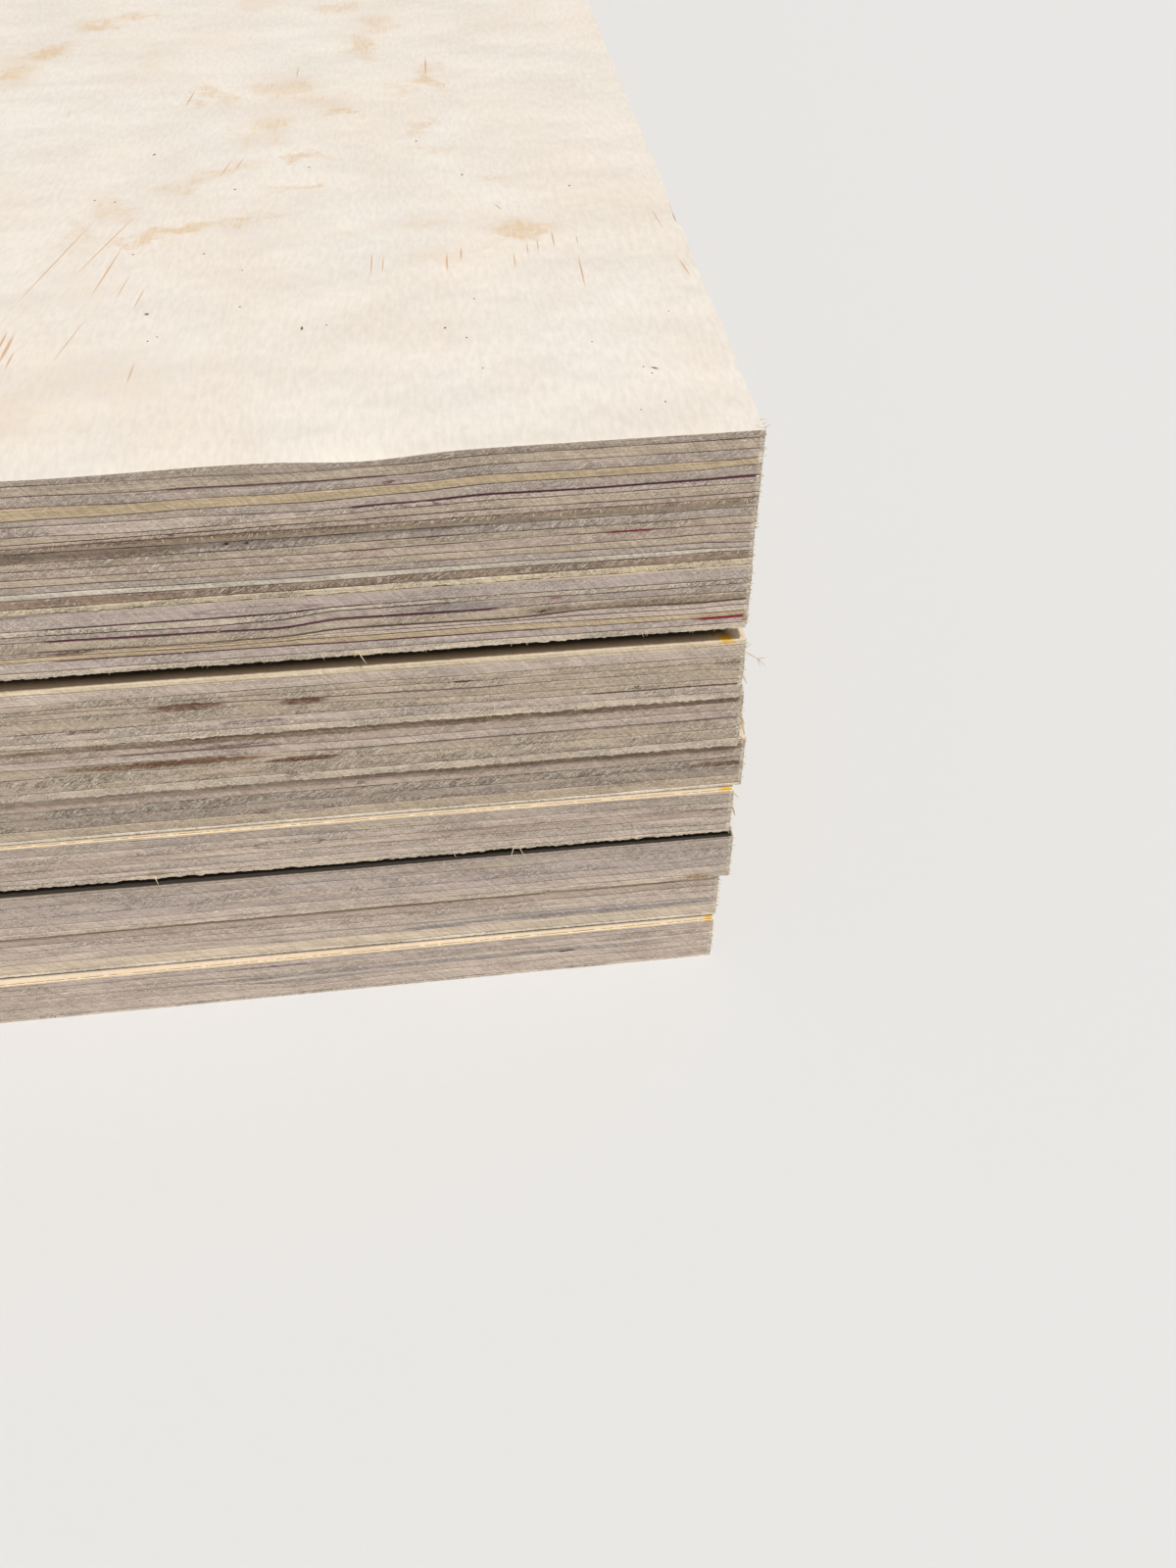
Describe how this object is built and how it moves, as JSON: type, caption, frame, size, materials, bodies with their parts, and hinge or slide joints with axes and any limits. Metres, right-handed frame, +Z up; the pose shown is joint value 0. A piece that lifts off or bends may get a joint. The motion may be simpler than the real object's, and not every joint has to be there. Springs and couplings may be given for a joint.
{
  "type": "stack of plywood sheets",
  "caption": "Flat stack of full-size plywood sheets with pale veneer faces and raw sawn edges that show the plies, slightly out of line at one corner.",
  "frame": {"origin": "middle of the underside of the lowest sheet, where the stack meets the ground", "axes": "+Y along the sheets' long side and face grain, +X along their short side, +Z up through the stack"},
  "size_m": [1.2441, 2.4526, 0.1874],
  "materials": {
    "top_sheet": "pale sanded face veneer, matte",
    "sheet": "raw sawn plywood edge, matte"
  },
  "bodies": {
    "root": {"plywood_sheet_01": "top_sheet", "plywood_sheet_02": "sheet", "plywood_sheet_03": "sheet", "plywood_sheet_04": "sheet", "plywood_sheet_05": "sheet", "plywood_sheet_06": "sheet", "plywood_sheet_07": "sheet", "plywood_sheet_08": "sheet", "plywood_sheet_09": "sheet", "plywood_sheet_10": "sheet"}
  },
  "joints": []
}
